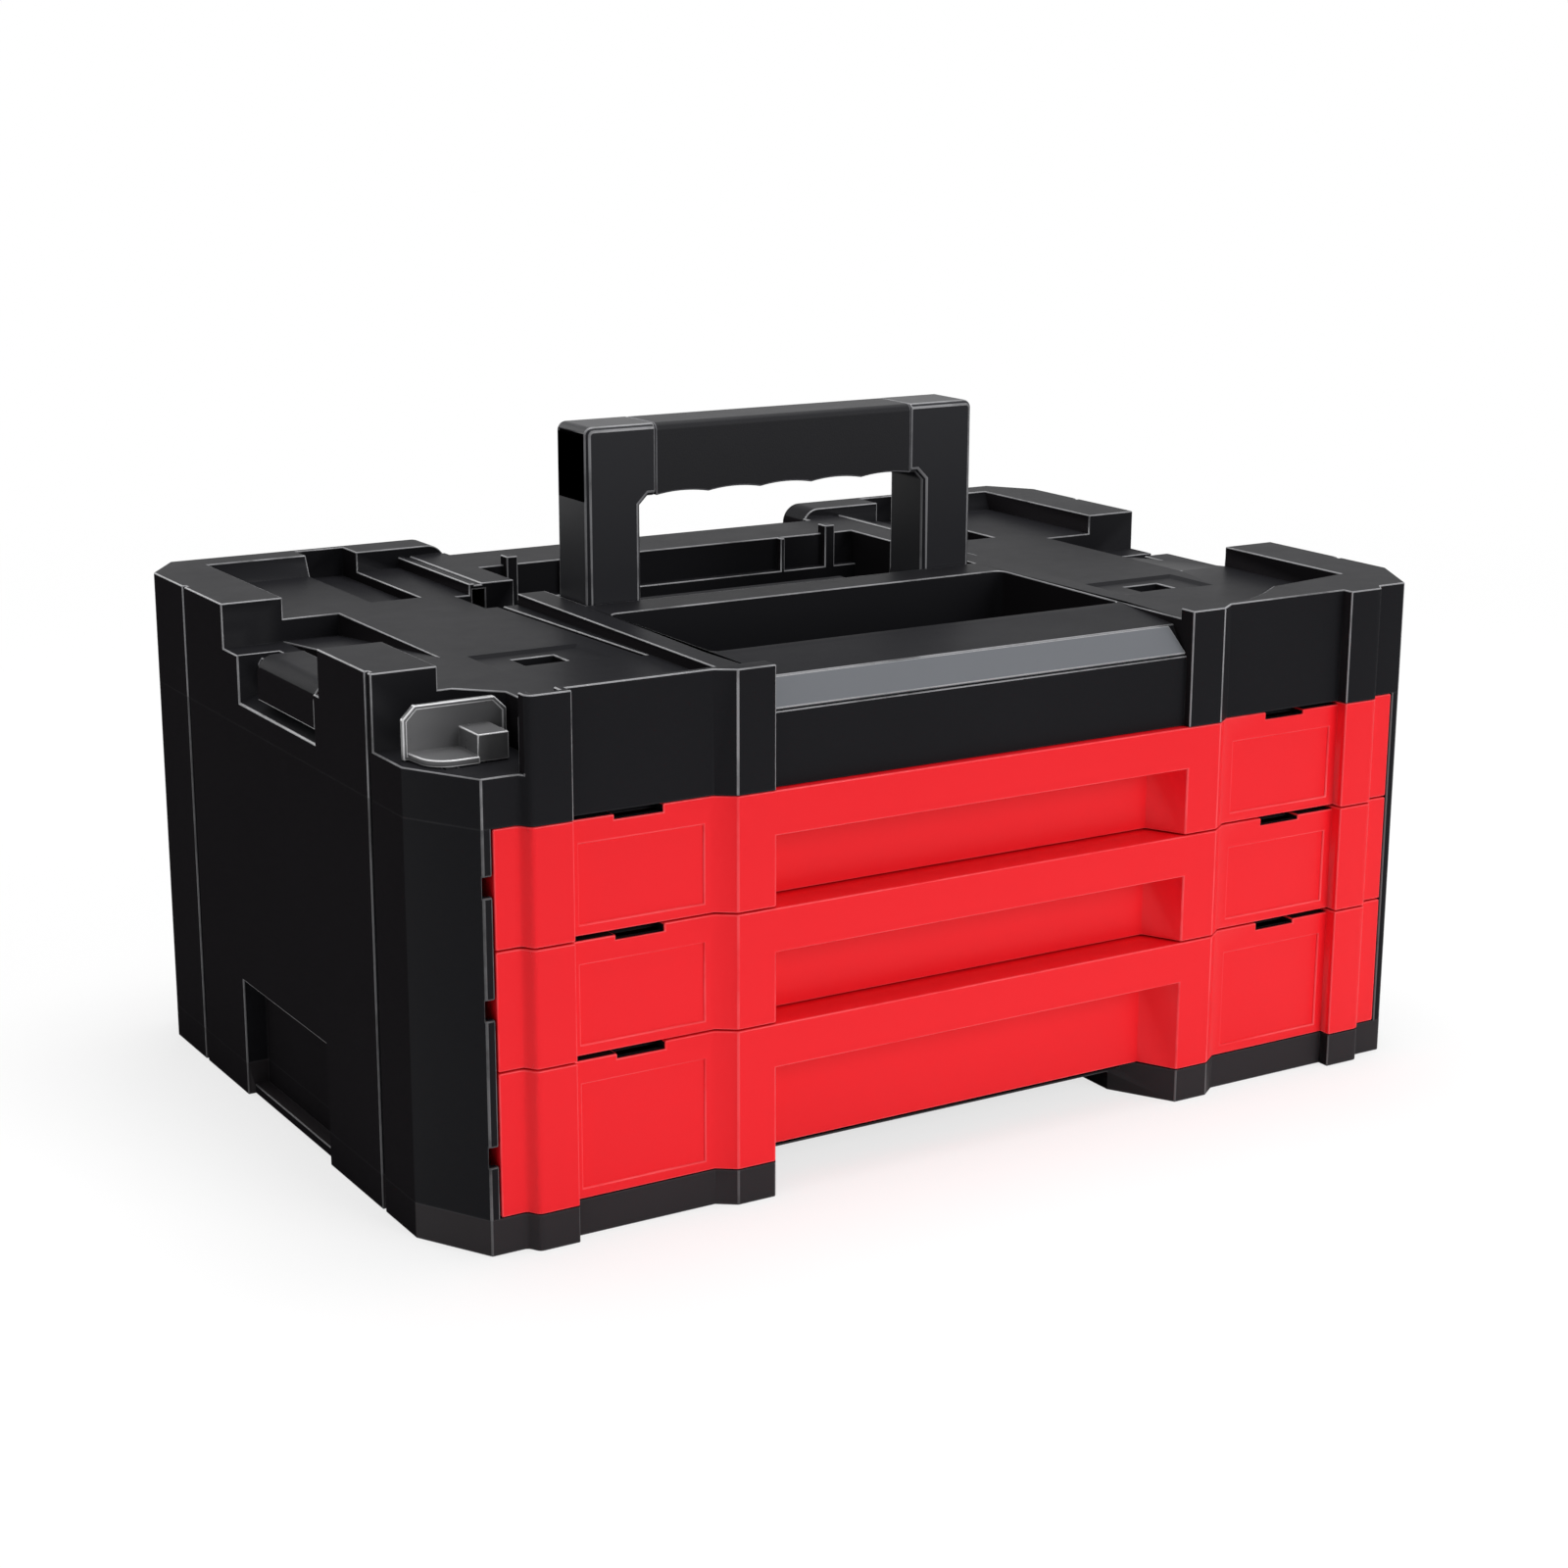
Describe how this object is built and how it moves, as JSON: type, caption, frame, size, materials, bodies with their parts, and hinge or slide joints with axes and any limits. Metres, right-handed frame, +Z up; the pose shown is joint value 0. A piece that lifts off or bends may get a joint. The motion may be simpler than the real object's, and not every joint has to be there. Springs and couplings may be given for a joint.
{
  "type": "socket organizer drawer box",
  "caption": "Stackable tool box with sliding drawers of graded socket cradles, an open parts bin, a folding carrying handle, side latches and a drawer lock.",
  "frame": {"origin": "middle of the base's underside", "axes": "+X to the right and +Y to the back of a person who faces the drawers, +Z up; the drawers open towards -Y"},
  "size_m": [0.44, 0.298, 0.2634],
  "materials": {
    "black_plastic": "satin, finely grained moulding",
    "charcoal_plastic": "matte moulding",
    "liner_plastic": "plain, self-lubricating",
    "insert_plastic": "matte moulding",
    "red_plastic": "satin",
    "grey_plastic": "satin",
    "smoke_plastic": "milky, slightly translucent",
    "grip_rubber": "soft cover",
    "steel": "zinc plated"
  },
  "bodies": {
    "case": {"base": "charcoal_plastic", "base_screws": "steel", "left_side_panel": "black_plastic", "right_side_panel": "black_plastic", "rear_panel": "black_plastic", "left_runner": "liner_plastic", "right_runner": "liner_plastic", "deck": "black_plastic", "accent_strip": "grey_plastic", "latch_pins": "steel", "handle_pins": "steel"},
    "top_drawer": {"top_drawer_front": "red_plastic", "top_drawer_tray": "black_plastic", "top_drawer_organizer": "insert_plastic"},
    "middle_drawer": {"middle_drawer_front": "red_plastic", "middle_drawer_tray": "black_plastic", "middle_drawer_organizer": "insert_plastic"},
    "bottom_drawer": {"bottom_drawer_front": "red_plastic", "bottom_drawer_tray": "black_plastic", "bottom_drawer_organizer": "insert_plastic"},
    "handle": {"handle_frame": "black_plastic", "handle_grip": "grip_rubber"},
    "left_latch": {"left_latch": "black_plastic"},
    "right_latch": {"right_latch": "black_plastic"},
    "lock": {"lock_tab": "smoke_plastic", "lock_bar": "liner_plastic"}
  },
  "joints": [
    {"name": "top_drawer_slide", "type": "slide", "parent": "case", "child": "top_drawer", "axis": [0, -1, 0], "range_m": [0, 0.21]},
    {"name": "middle_drawer_slide", "type": "slide", "parent": "case", "child": "middle_drawer", "axis": [0, -1, 0], "range_m": [0, 0.21]},
    {"name": "bottom_drawer_slide", "type": "slide", "parent": "case", "child": "bottom_drawer", "axis": [0, -1, 0], "range_m": [0, 0.21]},
    {"name": "handle_fold", "type": "hinge", "parent": "case", "child": "handle", "pos_m": [0, 0.01, 0.1854], "axis": [-1, 0, 0], "range_deg": [0, 90]},
    {"name": "left_latch_swing", "type": "hinge", "parent": "case", "child": "left_latch", "pos_m": [-0.209, -0.01, 0.1764], "axis": [0, -1, 0], "range_deg": [0, 14], "stiffness_Nm_per_rad": 0.2, "springref_deg": -5.73},
    {"name": "right_latch_swing", "type": "hinge", "parent": "case", "child": "right_latch", "pos_m": [0.209, -0.01, 0.1764], "axis": [0, 1, 0], "range_deg": [0, 14], "stiffness_Nm_per_rad": 0.2, "springref_deg": -5.73},
    {"name": "lock_slide", "type": "slide", "parent": "case", "child": "lock", "axis": [0, 0, 1], "range_m": [0, 0.008]}
  ]
}
